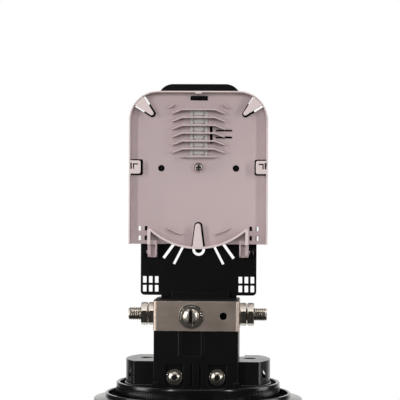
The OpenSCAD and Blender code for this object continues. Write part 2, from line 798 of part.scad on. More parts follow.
// Leg with its hinge pin, on the right
module tray_leg() {
    towards_right(leg_x - leg_w, leg_w) {
        translate([hinge_y, hinge_z]) circle(leg_r);
        translate([hinge_y - leg_r, hinge_z]) square([2 * leg_r, tray_z + 3 - hinge_z]);
    }
    towards_right(leg_x - 2.5, 2.5)
        translate([-rim_front, tray_z - 0.5]) square([wall_h + floor_t, arc_end_z + 0.5 - tray_z]);
    translate([leg_x - over, hinge_y, hinge_z]) rotate([0, 90, 0]) cylinder(h = pin_len + over, d = pin_d);
}

module splice_tray() {
    color("#bfb3b3") difference() {
        union() {
            towards_front(-tray_back, floor_t) difference() {
                union() {
                    tray_outline();
                    arc_floor();
                }
                floor_holes();
                retainers_2d(retainer_gap);
                side_clips_2d(retainer_gap);
            }
            // wall round the sides and top
            towards_front(-floor_front + 0.2, wall_h + 0.2) difference() {
                tray_outline();
                tray_outline(wall_t);
                rectangle(-tray_half + wall_t, tray_half - wall_t, tray_z - over, tray_z + tray_r);
            }
            towards_front(-tray_back, floor_t + wall_h) arc_wall_2d();
            // retainers at the rim
            towards_front(-rim_front + 1.2, 1.2) intersection() {
                union() {
                    retainers_2d(0);
                    difference() {
                        side_clips_2d(0);
                        clip_slots_2d();
                    }
                }
                union() {
                    tray_outline(wall_t / 2);
                    arc_floor();
                }
            }
            comb();
            guide_ridges();
            // boss round the screw and bump on the top wall
            difference() {
                front_cylinder(0, screw_z, 4.1, -floor_front + 0.2, 2.2);
                front_cylinder(0, screw_z, 3.4, -floor_front, 4);
            }
            towards_front(-rim_front + 3, 3) rectangle(-2.6, 2.6, tray_top - 2.2, tray_top - 0.4);
            for (side = [0, 1]) mirror([side, 0, 0]) tray_leg();
        }
        front_cylinder(0, screw_z, 1.6, 0, 2 * rim_front);
        // channels down the fronts of the legs
        for (side = [0, 1]) mirror([side, 0, 0])
            translate([leg_x - leg_w + 1.2, hinge_y - leg_r - 8, hinge_z - leg_r - over])
                cube([3.2, 8 + leg_r, tray_z + 0.6 - hinge_z + leg_r]);
    }
}

// Comb insert: a strip with one spring finger in each channel
module splice_holder() {
    color("#b4b6ae") difference() {
        union() {
            translate([-strip_w / 2, -floor_front - strip_t, strip_bottom])
                cube([strip_w, strip_t, strip_top - strip_bottom]);
            for (i = [0:rib_count - 1]) {
                z = rib_z - i * rib_pitch - rib_t;
                towards_right(-finger_w / 2 + 1, finger_w - 2) polygon([
                    [-floor_front - strip_t + 0.1, z - 0.6], [-floor_front - strip_t + 0.1, z - 3.6],
                    [-floor_front - strip_t - 1.4, z - 3.6],
                ]);
            }
        }
        for (i = [0:rib_count - 1]) {
            z = rib_z - i * rib_pitch - rib_t;
            towards_front(-floor_front + over, strip_t + 2 * over) {
                rectangle(-finger_w / 2, finger_w / 2, z - 4.2, z - 3.6);
                for (side = [-1, 1]) rectangle(side * finger_w / 2 - 0.35, side * finger_w / 2 + 0.35, z - 4.2, z - 1);
            }
        }
    }
}

module tray_screw() {
    color("#d0ccc4") difference() {
        union() {
            front_cylinder(0, screw_z, 3.2, -floor_front, 1.6);
            front_cylinder(0, screw_z, 2.5, -floor_front, 2.2);
            front_cylinder(0, screw_z, 1.5, -plate_t, tray_back + over - plate_t + 0.5);
        }
        for (a = [0, 90]) translate([0, -floor_front - 2.2, screw_z]) rotate([0, a, 0])
            cube([3.4, 1.8, 0.8], center = true);
    }
}

base_shell();
dome_gasket();
lower_pressure_plate();
gel_block();
upper_pressure_plate();
port_plugs();
seal_bolts();
seal_housing();
frame_column();
foot_washers();
foot_screws();
strength_bracket();
clamp_flat_washer();
clamp_spring_washer();
clamp_screw();
stud_left();
stud_right();
thin_nuts();
carrier_plate();
plate_screws();
splice_tray();
splice_holder();
tray_screw();
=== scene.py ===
"""Looks of an opened dome splice closure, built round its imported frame."""

import math

import bmesh
import bpy
import numpy as np
from mathutils import Matrix, Vector


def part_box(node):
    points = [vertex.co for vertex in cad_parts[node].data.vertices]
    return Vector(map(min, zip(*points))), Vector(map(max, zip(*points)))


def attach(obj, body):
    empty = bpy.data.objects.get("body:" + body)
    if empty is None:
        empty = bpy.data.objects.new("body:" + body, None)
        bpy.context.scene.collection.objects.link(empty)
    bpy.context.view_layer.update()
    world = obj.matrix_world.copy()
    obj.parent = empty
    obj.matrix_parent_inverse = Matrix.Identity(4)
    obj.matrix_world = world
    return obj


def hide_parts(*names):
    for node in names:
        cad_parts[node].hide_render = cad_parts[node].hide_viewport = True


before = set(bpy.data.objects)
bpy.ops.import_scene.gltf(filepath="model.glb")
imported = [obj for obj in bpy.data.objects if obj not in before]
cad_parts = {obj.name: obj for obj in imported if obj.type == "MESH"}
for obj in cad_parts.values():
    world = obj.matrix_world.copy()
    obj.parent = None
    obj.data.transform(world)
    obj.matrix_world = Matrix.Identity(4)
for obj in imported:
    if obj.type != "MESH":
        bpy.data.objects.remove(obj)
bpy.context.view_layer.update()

# ---------------------------------------------------------------------------
# Camera. It stands level with the middle of the tray, square to its front and
# a little to the right, so that the round base is cut off under its flange.
# ---------------------------------------------------------------------------
MM = 0.001
EYE_HEIGHT = 203.9 * MM
EYE_DISTANCE = 1310 * MM
EYE_TURN = math.radians(2.9)
EYE_ROLL = math.radians(0.3)
EYE_SIDE = 0.75 * MM
# Width of the sensor, in the lens's own millimetres, and of what it sees at the closure's axis.
SENSOR_WIDTH = 36.0
FIELD_WIDTH = 308 * MM

camera_data = bpy.data.cameras.new("eye")
camera_data.sensor_width = SENSOR_WIDTH
camera_data.lens = SENSOR_WIDTH * EYE_DISTANCE / FIELD_WIDTH
camera_data.clip_start = 0.05
camera_data.clip_end = 50
camera = bpy.data.objects.new("eye", camera_data)
bpy.context.collection.objects.link(camera)
away = Vector((math.sin(EYE_TURN), -math.cos(EYE_TURN), 0))
sideways = Vector((math.cos(EYE_TURN), math.sin(EYE_TURN), 0))
camera.location = away * EYE_DISTANCE + sideways * EYE_SIDE + Vector((0, 0, EYE_HEIGHT))
look = (-away).to_track_quat("-Z", "Y").to_matrix().to_4x4()
camera.matrix_world = Matrix.Translation(camera.location) @ look @ Matrix.Rotation(EYE_ROLL, 4, "Z")
bpy.context.scene.camera = camera
bpy.context.scene.view_settings.view_transform = "Standard"

# ---------------------------------------------------------------------------
# Studio: a white tent behind the closure and a darker room in front of it, two
# tall lamps at its sides, two narrow ones in front, one above and a front fill.
# ---------------------------------------------------------------------------
WARM_WHITE = (1.0, 0.985, 0.97)
TENT_LIGHT = (1, 0.99, 0.98, 1)
ROOM_LIGHT = (1.0, 0.99, 0.985, 1)
ROOM_STRENGTH = 0.12
ROOM_REFLECTION = 0.045
LAMP_TARGET = (0, 0, 0.17)


def connect(tree, node, inputs):
    """Fills a node's inputs: a socket is linked, and a number, vector or colour is set."""
    for key, value in inputs.items():
        if isinstance(value, bpy.types.NodeSocket):
            tree.links.new(value, node.inputs[key])
        else:
            node.inputs[key].default_value = value


def add_node(tree, kind, inputs=None, **settings):
    """Adds a shader node of this kind, sets its settings, then fills its inputs."""
    made = tree.nodes.new("ShaderNode" + kind)
    for name, value in settings.items():
        setattr(made, name, value)
    connect(tree, made, inputs or {})
    return made


def add_math(tree, operation, *values):
    """Adds a Math node with these sockets or numbers as inputs and returns its output."""
    return add_node(tree, "Math", dict(enumerate(values)), operation=operation).outputs[0]


def add_ramp(tree, value, start, end, low, high, interpolation="SMOOTHSTEP"):
    """Returns low where value is start, high where it is end, and an eased mix of the two between."""
    limits = {"From Min": start, "From Max": end, "To Min": low, "To Max": high}
    made = add_node(tree, "MapRange", {"Value": value, **limits}, interpolation_type=interpolation)
    return made.outputs["Result"]


def studio_world():
    """White to the camera, a dim even room to matt surfaces, and a tent with dark flanks to glossy ones.

    The reflected strength is ROOM_REFLECTION + behind * middle. Behind grows from 0 to 1 with the ray's
    Y, and middle falls from 1 to 0 with the size of its X.
    """
    world = bpy.data.worlds.new("studio")
    bpy.context.scene.world = world
    world.use_nodes = True
    tree = world.node_tree
    tree.nodes.clear()
    direction = add_node(tree, "TexCoord").outputs["Generated"]
    split = add_node(tree, "SeparateXYZ", {0: direction})
    behind = add_ramp(tree, split.outputs["Y"], 0.15, 0.8, 0, 1)
    width = add_math(tree, "ABSOLUTE", split.outputs["X"])
    middle = add_ramp(tree, width, 0.25, 0.65, 1, 0)
    strength = add_math(tree, "MULTIPLY_ADD", behind, middle, ROOM_REFLECTION)
    ray = add_node(tree, "LightPath").outputs
    tent = add_node(tree, "Background", {"Color": TENT_LIGHT, "Strength": strength})
    room = add_node(tree, "Background", {"Color": ROOM_LIGHT, "Strength": ROOM_STRENGTH})
    white = add_node(tree, "Background", {"Color": (1, 1, 1, 1), "Strength": 1.0})
    lit = add_node(tree, "MixShader", {0: ray["Is Glossy Ray"], 1: room.outputs[0], 2: tent.outputs[0]})
    seen = add_node(tree, "MixShader", {0: ray["Is Camera Ray"], 1: lit.outputs[0], 2: white.outputs[0]})
    add_node(tree, "OutputWorld", {"Surface": seen.outputs[0]})


studio_world()


def lamp(name, place, size, watts, colour=(1, 1, 1)):
    """A rectangular lamp at place that faces LAMP_TARGET, size = (width, height) in metres."""
    data = bpy.data.lights.new(name, "AREA")
    data.shape = "RECTANGLE"
    data.size, data.size_y = size
    data.energy = watts
    data.color = colour
    made = bpy.data.objects.new(name, data)
    bpy.context.collection.objects.link(made)
    made.location = place
    made.rotation_euler = (Vector(LAMP_TARGET) - Vector(place)).to_track_quat("-Z", "Y").to_euler()
    return made


lamp("side_left", (-0.95, -0.15, 0.35), (0.35, 1.1), 5.5, WARM_WHITE)
lamp("side_right", (0.95, 0.25, 0.35), (0.35, 1.1), 3.5, WARM_WHITE)
lamp("strip_left", (-0.95, -1.35, 0.45), (0.12, 0.8), 7.0)
lamp("strip_right", (1.15, -1.1, 0.45), (0.12, 0.8), 7.0)
lamp("overhead", (0.0, -0.25, 1.25), (1.0, 0.7), 5.0)
lamp("front_fill", (0.1, -1.9, 0.7), (0.8, 0.5), 11.0).visible_glossy = False


# ---------------------------------------------------------------------------
# Table: a round top of pale matt card that the closure stands on. It fades into
# the white tent away from the closure, and polished parts don't reflect it.
# ---------------------------------------------------------------------------
def new_material(name):
    """Makes a material and returns it with its node tree and its Principled shader."""
    made = bpy.data.materials.new(name)
    made.use_nodes = True
    return made, made.node_tree, made.node_tree.nodes["Principled BSDF"]


def table_top():
    """A flat disc just under z = 0 whose card is solid inside one radius and clear outside another."""
    radius, drop, corners = 0.45, 0.2 * MM, 96
    solid_radius, clear_radius = 0.24, 0.40
    angle = np.linspace(0, 2 * np.pi, corners, endpoint=False)
    rim = np.c_[radius * np.cos(angle), radius * np.sin(angle), np.full(corners, -drop)]
    mesh = bpy.data.meshes.new("table_top")
    mesh.from_pydata(rim.tolist(), [], [list(range(corners))])
    obj = bpy.data.objects.new("table_top", mesh)
    bpy.context.collection.objects.link(obj)
    card, tree, shader = new_material("pale_card")
    place = add_node(tree, "TexCoord").outputs["Object"]
    length = add_node(tree, "VectorMath", {0: place}, operation="LENGTH").outputs["Value"]
    alpha = add_ramp(tree, length, solid_radius, clear_radius, 1, 0)
    connect(tree, shader, {"Base Color": (0.86, 0.86, 0.86, 1), "Roughness": 0.75, "Alpha": alpha})
    mesh.materials.append(card)
    obj.visible_glossy = False


table_top()

# ---------------------------------------------------------------------------
# Base shell: one injection moulding in glossy black plastic, turned in form,
# with the tall collar that the dome slides over, the gasket groove, the low
# ring and the clamp flange. It stands on its drum and everything is fixed to it.
# ---------------------------------------------------------------------------
BODY = "closure"

base_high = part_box("base_shell")[1]
FLANGE_R = base_high.x
COLLAR_TOP = base_high.z
FLANGE_Z = COLLAR_TOP - 12.7 * MM
COLLAR_R = 62.75 * MM
BORE_R = COLLAR_R - 2.8 * MM
GROOVE_R = COLLAR_R + 6.2 * MM
RING_R = GROOVE_R + 2.3 * MM
RING_TOP = FLANGE_Z + 4.4 * MM
LEDGE_R = BORE_R - 8 * MM
DRUM_R = BORE_R + 4.05 * MM
DRUM_TOP = FLANGE_Z - 9 * MM
GROOVE_Z = FLANGE_Z - 6 * MM
LEDGE_Z = 6 * MM
RIB_COUNT = 240
RIB_DEPTH = 0.22 * MM
STEPS_PER_RIB = 4


def new_group(name, inputs):
    """An empty shader group with these (name, socket type, default) inputs, and the outputs of a surface."""
    group = bpy.data.node_groups.new(name, "ShaderNodeTree")
    for label, kind, default in inputs:
        made = group.interface.new_socket(label, in_out="INPUT", socket_type=kind)
        made.default_value = default
    for label, kind in (("Color", "Color"), ("Roughness", "Float"), ("Height", "Float")):
        group.interface.new_socket(label, in_out="OUTPUT", socket_type="NodeSocket" + kind)
    return group, group.nodes.new("NodeGroupInput").outputs, group.nodes.new("NodeGroupOutput")


def scaled_colour(tree, colour, factor):
    """Returns colour * factor."""
    return add_node(tree, "VectorMath", {0: colour, "Scale": factor}, operation="SCALE").outputs[0]


def moulding_group():
    """Colour, roughness and height of an injection-moulded surface: flow marks and its mould's fine grain.

    Colour = tint * (1 + variation * (slow noise - 0.5)). Roughness = gloss + spread * (noise - 0.5).
    Height = grain noise.
    """
    group, put, out = new_group("moulded_surface", [
        ("Tint", "NodeSocketColor", (0.5, 0.5, 0.5, 1)),
        ("Variation", "NodeSocketFloat", 0.06),
        ("Gloss", "NodeSocketFloat", 0.35),
        ("Spread", "NodeSocketFloat", 0.08),
        ("Grain Scale", "NodeSocketFloat", 2500.0),
    ])
    where = add_node(group, "TexCoord").outputs["Object"]
    slow = add_node(group, "TexNoise", {"Vector": where, "Scale": 28, "Detail": 3})
    smudge = add_node(group, "TexNoise", {"Vector": where, "Scale": 110, "Detail": 4, "Distortion": 0.6})
    grain = add_node(group, "TexNoise", {"Vector": where, "Scale": put["Grain Scale"], "Detail": 2})
    flow = add_math(group, "SUBTRACT", slow.outputs["Fac"], 0.5)
    change = add_math(group, "MULTIPLY", flow, put["Variation"])
    colour = scaled_colour(group, put["Tint"], add_math(group, "ADD", change, 1.0))
    uneven = add_math(group, "SUBTRACT", smudge.outputs["Fac"], 0.5)
    spread = add_math(group, "MULTIPLY", uneven, put["Spread"])
    roughness = add_math(group, "ADD", spread, put["Gloss"])
    connect(group, out, {"Color": colour, "Roughness": roughness, "Height": grain.outputs["Fac"]})
    return group


moulded_surface = moulding_group()


def linear(red, green, blue):
    """Turns a colour given as 0 to 255 on screen into Blender's linear values.

    With c from 0 to 1, linear = c / 12.92 where c is dark, else ((c + 0.055) / 1.055) to the power 2.4.
    """
    c = np.array([red, green, blue]) / 255
    value = np.where(c <= 0.04045, c / 12.92, ((c + 0.055) / 1.055) ** 2.4)
    return (*[float(v) for v in value], 1.0)


def surface_material(name, group, values, bump, depth, finish):
    """A Principled material whose colour, roughness and bump come from a surface group.

    The bump is depth metres high, times its strength. Finish holds the shader's other inputs.
    """
    mat, tree, shader = new_material(name)
    surface = add_node(tree, "Group", values, node_tree=group).outputs
    relief = add_node(tree, "Bump", {"Strength": bump, "Distance": depth, "Height": surface["Height"]})
    connect(tree, shader, {"Base Color": surface["Color"], "Roughness": surface["Roughness"]})
    connect(tree, shader, {"Normal": relief.outputs["Normal"], **finish})
    return mat


def moulded_material(name, tint, gloss, variation=0.06, spread=0.1, grain=2500.0, bump=0.05, specular=0.5):
    """A moulded plastic or rubber."""
    values = {"Tint": tint, "Variation": variation, "Gloss": gloss, "Spread": spread, "Grain Scale": grain}
    return surface_material(name, moulded_surface, values, bump, 0.2 * MM, {"Specular IOR Level": specular})


gloss_black = moulded_material("glossy_black_plastic", linear(11, 11, 13), 0.18, spread=0.12, bump=0.03)


def hang(name, mesh, node, material, body):
    """Makes an object of the mesh that stands for the node, rides on the body and takes the given material.
    """
    mesh.materials.clear()
    mesh.materials.append(material)
    obj = bpy.data.objects.new(name, mesh)
    bpy.context.collection.objects.link(obj)
    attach(obj, body)
    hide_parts(node)
    return obj


def finish_mesh(mesh, crease=35):
    """Turns the faces outwards and shades them smooth, with edges sharper than crease degrees left sharp."""
    work = bmesh.new()
    work.from_mesh(mesh)
    bmesh.ops.remove_doubles(work, verts=work.verts, dist=1e-7)
    bmesh.ops.recalc_face_normals(work, faces=work.faces)
    work.to_mesh(mesh)
    work.free()
    mesh.shade_smooth()
    mesh.set_sharp_from_angle(angle=math.radians(crease))


def grid_mesh(name, points, closed=True):
    """A mesh from points [u, v, xyz] that go round in u.

    If closed, the last ring of v is joined to the first; if not, both are capped.
    """
    count_u, count_v = points.shape[:2]
    index = np.arange(count_u * count_v).reshape(count_u, count_v)
    if closed:
        index = np.c_[index, index[:, :1]]
    after = np.roll(index, -1, axis=0)
    faces = np.stack([index[:, :-1], after[:, :-1], after[:, 1:], index[:, 1:]], -1).reshape(-1, 4).tolist()
    if not closed:
        faces += [index[:, 0][::-1].tolist(), index[:, -1].tolist()]
    mesh = bpy.data.meshes.new(name)
    mesh.from_pydata(points.reshape(-1, 3).tolist(), [], faces)
    finish_mesh(mesh)
    return mesh


def rounded_outline(corners, steps=3):
    """Rows of (x, y) along a closed outline of (x, y, radius) corners in metres, each eased by a curve.

    The curve leaves the sides at radius / tan(half the corner's angle) from the corner, and is the
    parabola (1 - t)^2 * start + 2 * t * (1 - t) * corner + t^2 * end. It takes less than half a side.
    """
    places = np.array([corner[:2] for corner in corners])
    most = 0.45
    made = []
    for i, here in enumerate(places):
        before, after = places[i - 1], places[(i + 1) % len(places)]
        back, ahead = np.linalg.norm(before - here), np.linalg.norm(after - here)
        a, b = (before - here) / back, (after - here) / ahead
        half = math.acos(float(np.clip(a @ b, -1, 1))) / 2
        radius = corners[i][2]
        if radius <= 0 or abs(half - math.pi / 2) < 1e-3:
            made.append(here[None])
            continue
        reach = min(radius / math.tan(half), most * back, most * ahead)
        t = np.linspace(0, 1, steps + 1)[:, None]
        made.append((1 - t) ** 2 * (here + a * reach) + 2 * t * (1 - t) * here + t**2 * (here + b * reach))
    return np.concatenate(made)


def base_shell():
    """The base's outline with every moulded edge rounded, turned round the closure's axis.

    The collar's wall carries fine upright ribs: radius = wall - RIB_DEPTH * (1 - cos(RIB_COUNT * turn)) / 2.
    """
    rib_low, rib_high = FLANGE_Z + 0.3 * MM, COLLAR_TOP - 3.3 * MM
    corners = [
        (LEDGE_R, 0, 0.5), (DRUM_R, 0, 1.2), (DRUM_R, DRUM_TOP - 3 * MM, 2.0),
        (DRUM_R + 2.5 * MM, DRUM_TOP, 1.5), (FLANGE_R, FLANGE_Z - 2 * MM, 0.7), (FLANGE_R, FLANGE_Z, 0.7),
        (RING_R, FLANGE_Z + 1.2 * MM, 0.6), (RING_R, RING_TOP, 0.8), (GROOVE_R, RING_TOP, 0.7),
        (GROOVE_R, GROOVE_Z, 0.4), (COLLAR_R, GROOVE_Z, 0.4), (COLLAR_R, FLANGE_Z, 0), (COLLAR_R, rib_low, 0),
        (COLLAR_R, rib_high, 0), (COLLAR_R, COLLAR_TOP - 3 * MM, 0), (COLLAR_R, COLLAR_TOP, 0.9),
        (BORE_R, COLLAR_TOP, 0.9), (BORE_R, LEDGE_Z, 0.4), (LEDGE_R, LEDGE_Z, 0.4),
    ]
    outline = rounded_outline([(r, z, radius * MM) for r, z, radius in corners])
    wall, height = outline[None, :, 0], outline[None, :, 1]
    spare = 0.01 * MM
    ribbed = (abs(wall - COLLAR_R) < spare) & (height > rib_low - spare) & (height < rib_high + spare)
    turn = np.linspace(0, 2 * np.pi, RIB_COUNT * STEPS_PER_RIB, endpoint=False)[:, None]
    radius = wall - ribbed * RIB_DEPTH * (0.5 - 0.5 * np.cos(RIB_COUNT * turn))
    points = np.stack([radius * np.cos(turn), radius * np.sin(turn), height + 0 * turn], -1)
    name = "base_shell_moulding"
    hang(name, grid_mesh(name, points), "base_shell", gloss_black, BODY)


base_shell()

# ---------------------------------------------------------------------------
# Dome gasket: a round cord of black rubber moulded as a ring. It lies loose in
# the groove of the base, and the dome's edge squeezes it.
# ---------------------------------------------------------------------------
seal_rubber = moulded_material("black_seal_rubber", linear(28, 28, 28), 0.6, grain=900.0, bump=0.2)


def dome_gasket():
    """A circle of cord_radius swept round the middle of the groove, on the groove's floor."""
    middle, cord_radius = (COLLAR_R + GROOVE_R) / 2, 2.7 * MM
    turn = np.linspace(0, 2 * np.pi, 256, endpoint=False)[:, None]
    around = np.linspace(0, 2 * np.pi, 24, endpoint=False)[None]
    radius = middle + cord_radius * np.cos(around)
    height = GROOVE_Z + cord_radius + cord_radius * np.sin(around)
    points = np.stack([radius * np.cos(turn), radius * np.sin(turn), height + 0 * turn], -1)
    name = "dome_gasket_ring"
    hang(name, grid_mesh(name, points), "dome_gasket", seal_rubber, BODY)


dome_gasket()

# ---------------------------------------------------------------------------
# Seal: two moulded pressure plates clamp a block of soft gel round the cables,
# rubber plugs shut the unused ports, and plated bolts draw the plates together.
# ---------------------------------------------------------------------------
satin_look = {"spread": 0.12, "bump": 0.1, "specular": 0.25}
satin_black = moulded_material("satin_black_plastic", linear(9, 9, 10), 0.38, **satin_look)
gel_look = {"variation": 0.15, "grain": 300.0, "bump": 0.15}
seal_gel = moulded_material("blue_grey_gel", linear(96, 110, 130), 0.25, **gel_look)


def metal_group():
    """Colour, roughness and height of worked metal: fine streaks along one direction, and slow clouding.

    The streaks are a noise whose place is multiplied by Stretch. Uneven = streaks + clouds - 1.
    Colour = tint * (1 + variation * uneven). Roughness = gloss + spread * uneven. Height = streaks.
    """
    group, put, out = new_group("worked_metal", [
        ("Tint", "NodeSocketColor", (0.5, 0.5, 0.5, 1)),
        ("Gloss", "NodeSocketFloat", 0.3),
        ("Spread", "NodeSocketFloat", 0.15),
        ("Variation", "NodeSocketFloat", 0.2),
        ("Stretch", "NodeSocketVector", (40.0, 2000.0, 2000.0)),
    ])
    where = add_node(group, "TexCoord").outputs["Object"]
    stretched = add_node(group, "VectorMath", {0: where, 1: put["Stretch"]}, operation="MULTIPLY").outputs[0]
    streaks = add_node(group, "TexNoise", {"Vector": stretched, "Scale": 1, "Detail": 5, "Roughness": 0.7})
    clouds = add_node(group, "TexNoise", {"Vector": where, "Scale": 70, "Detail": 4})
    both = add_math(group, "ADD", streaks.outputs["Fac"], clouds.outputs["Fac"])
    uneven = add_math(group, "SUBTRACT", both, 1.0)
    change = add_math(group, "MULTIPLY", uneven, put["Variation"])
    colour = scaled_colour(group, put["Tint"], add_math(group, "ADD", change, 1.0))
    spread = add_math(group, "MULTIPLY", uneven, put["Spread"])
    roughness = add_math(group, "ADD", spread, put["Gloss"])
    connect(group, out, {"Color": colour, "Roughness": roughness, "Height": streaks.outputs["Fac"]})
    return group


worked_metal = metal_group()


def metal_material(name, tint, gloss, stretch, spread=0.15, bump=0.1):
    """A worked metal whose streaks run where stretch has its smallest factor."""
    values = {"Tint": tint, "Gloss": gloss, "Spread": spread, "Variation": 0.2, "Stretch": stretch}
    return surface_material(name, worked_metal, values, bump, 0.1 * MM, {"Metallic": 1.0})


EVEN_GRAIN = (400.0, 400.0, 400.0)
zinc_steel = metal_material("plated_screw_steel", linear(214, 207, 196), 0.24, EVEN_GRAIN, bump=0.05)


def eased_copy(node, name, material, body, width):
    """A copy of a solid part with its edges rounded by width metres, as a mould or a tumbler leaves them.

    Corners of its triangles that nearly meet are merged first, so that the rounding has whole edges.
    """
    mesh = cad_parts[node].data.copy()
    work = bmesh.new()
    work.from_mesh(mesh)
    bmesh.ops.remove_doubles(work, verts=work.verts, dist=2e-6)
    bmesh.ops.dissolve_degenerate(work, dist=1e-6, edges=work.edges)
    work.to_mesh(mesh)
    work.free()
    mesh.shade_smooth()
    obj = hang(name, mesh, node, material, body)
    ease = obj.modifiers.new("eased_edges", "BEVEL")
    ease.width = width
    ease.segments = 2
    ease.limit_method = "ANGLE"
    ease.angle_limit = math.radians(32)
    ease.use_clamp_overlap = False
    ease.loop_slide = False
    ease.miter_outer = "MITER_ARC"
    weigh = obj.modifiers.new("flat_faces_stay_flat", "WEIGHTED_NORMAL")
    weigh.mode = "FACE_AREA"
    weigh.weight = 100
    baked = bpy.data.meshes.new_from_object(obj.evaluated_get(bpy.context.evaluated_depsgraph_get()))
    baked.name = name
    obj.modifiers.clear()
    obj.data = baked


eased_copy("lower_pressure_plate", "lower_plate_moulding", satin_black, BODY, 0.5 * MM)
eased_copy("upper_pressure_plate", "upper_plate_moulding", satin_black, BODY, 0.5 * MM)
eased_copy("gel_block", "gel_body", seal_gel, BODY, 0.8 * MM)
eased_copy("port_plugs", "port_plug_pair", seal_rubber, BODY, 0.6 * MM)
eased_copy("seal_bolts", "seal_bolt_set", zinc_steel, BODY, 0.4 * MM)

# ---------------------------------------------------------------------------
# Seal housing: a deep black moulding with two flats, two windows and a deck. It
# sits in the collar over the seal, and the seal's bolts go through its deck.
# ---------------------------------------------------------------------------
housing_tint = linear(11, 11, 13)
housing_black = moulded_material("moulded_housing_black_plastic", housing_tint, 0.27, spread=0.15, bump=0.12)
eased_copy("seal_housing", "seal_housing_moulding", housing_black, BODY, 0.5 * MM)

# ---------------------------------------------------------------------------
# Frame column: a hollow black moulding that stands on the deck. Its foot is
# screwed to the housing's front flat by two plated pan screws with washers.
# ---------------------------------------------------------------------------
eased_copy("frame_column", "frame_column_moulding", satin_black, BODY, 0.35 * MM)
eased_copy("foot_washers", "foot_washer_pair", zinc_steel, BODY, 0.15 * MM)

screw_tint = linear(240, 232, 220)
screw_steel = metal_material("plated_screw_steel_with_recess", screw_tint, 0.34, EVEN_GRAIN, bump=0.05)


def repaint(mat):
    """Returns a material's node tree, its shader, and the colour that has fed the shader until now."""
    shader = mat.node_tree.nodes["Principled BSDF"]
    return mat.node_tree, shader, shader.inputs["Base Color"].links[0].from_socket


def painted_recess_shade_and_oil(mat):
    """Painted shade, with some old oil, in the driver's recess: colour * (1 - 0.88 * recess attribute)."""
    tree, shader, plain = repaint(mat)
    mark = add_node(tree, "Attribute", attribute_name="recess").outputs["Fac"]
    share = add_ramp(tree, mark, 0, 1, 1, 0.12, "LINEAR")
    connect(tree, shader, {"Base Color": scaled_colour(tree, plain, share)})


# The screws' driver recesses get painted shade, with some old oil, darkening their colour.
painted_recess_shade_and_oil(screw_steel)


def star_recess(across, up, head_r):
    """How far a point lies inside a six-lobed outline: head_r * (0.47 + 0.1 * cos(6 * turn)) - radius."""
    return head_r * (0.47 + 0.1 * np.cos(6 * np.arctan2(up, across))) - np.hypot(across, up)


def screw_points(place, seat, head_r, shank_r, recess, depth):
    """Points [u, v, xyz and mark] of one screw along Y: rounded head, driver's recess, flat underside, shank.

    Place is (x, z, front, end). Head height over radius r = (seat - front) * root of (1 - (r / head_r)^4).
    Recess tells how far a point lies inside the driver's outline. The mark goes from 0 to 1 over a
    narrow band there, and the recess lowers the head by depth * mark.
    """
    x, z, front, end = place
    band, floor_left = 0.18 * MM, 0.1 * MM
    # Rings of points, as shares of the head's radius: even over the dome, closer together near its rim.
    centre, dome_end = 0.001, 0.7
    dome = np.linspace(centre, dome_end, 44)
    rim = dome_end + (1 - dome_end) * np.sin(np.linspace(0.05, 1, 14) * np.pi / 2)
    turn = np.linspace(0, 2 * np.pi, 120, endpoint=False)[:, None]
    r = head_r * np.concatenate([dome, rim])[None]
    across, up = r * np.cos(turn), r * np.sin(turn)
    mark = np.clip(recess(across, up, head_r) / band + 0.5, 0, 1)
    height = (seat - front) * np.clip(1 - (r / head_r) ** 4, 0, 1) ** 0.5
    y = seat - height + np.minimum(depth * mark, np.clip(height - floor_left, 0, None))
    head = np.stack([x + across, y, z + up, mark], -1)
    r = np.array([[head_r, shank_r, shank_r, centre * shank_r]])
    y = np.array([[seat, seat, end, end]]) + 0 * turn
    tail = np.stack([x + r * np.cos(turn), y, z + r * np.sin(turn), 0 * y], -1)
    return np.concatenate([head, tail], 1)


def screw_piece(name, node, screws, body):
    """Joins screws into one mesh that stands for its node, with each point's mark as the attribute recess."""
    points, faces, start = [], [], 0
    for screw in screws:
        count_u, count_v = screw.shape[:2]
        index = start + np.arange(count_u * count_v).reshape(count_u, count_v)
        after = np.roll(index, -1, axis=0)
        quads = np.stack([index[:, :-1], after[:, :-1], after[:, 1:], index[:, 1:]], -1)
        faces += quads.reshape(-1, 4).tolist() + [index[:, 0].tolist(), index[:, -1].tolist()]
        points.append(screw.reshape(-1, 4))
        start += count_u * count_v
    points = np.concatenate(points)
    mesh = bpy.data.meshes.new(name)
    mesh.from_pydata(points[:, :3].tolist(), [], faces)
    mesh.attributes.new("recess", "FLOAT", "POINT").data.foreach_set("value", points[:, 3])
    finish_mesh(mesh, crease=50)
    hang(name, mesh, node, screw_steel, body)


low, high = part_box("foot_screws")
foot_r, foot_z = (high.z - low.z) / 2, (high.z + low.z) / 2
foot_x = high.x - foot_r
foot_pair = [
    screw_points((x, foot_z, low.y, high.y), low.y + 2.6 * MM, foot_r, 2.1 * MM, star_recess, 1.7 * MM)
    for x in (-foot_x, foot_x)
]
screw_piece("foot_screw_pair", "foot_screws", foot_pair, BODY)

# ---------------------------------------------------------------------------
# Strength-member bracket: brushed steel sheet bent round the column. A plated
# slotted screw, with a spring washer and a flat one, clamps it at the front.
# ---------------------------------------------------------------------------
bracket_tint = linear(208, 191, 178)
brushed_steel = metal_material("brushed_bracket_steel", bracket_tint, 0.45, (25.0, 900.0, 1600.0), bump=0.12)
eased_copy("strength_bracket", "bracket_sheet", brushed_steel, BODY, 0.2 * MM)
eased_copy("clamp_flat_washer", "clamp_washer_flat", zinc_steel, BODY, 0.2 * MM)
eased_copy("clamp_spring_washer", "clamp_washer_spring", zinc_steel, BODY, 0.2 * MM)


def slot_recess(across, up, head_r):
    """How far a point lies inside an upright slot that runs right across the head."""
    return 1.25 * MM - np.abs(across)


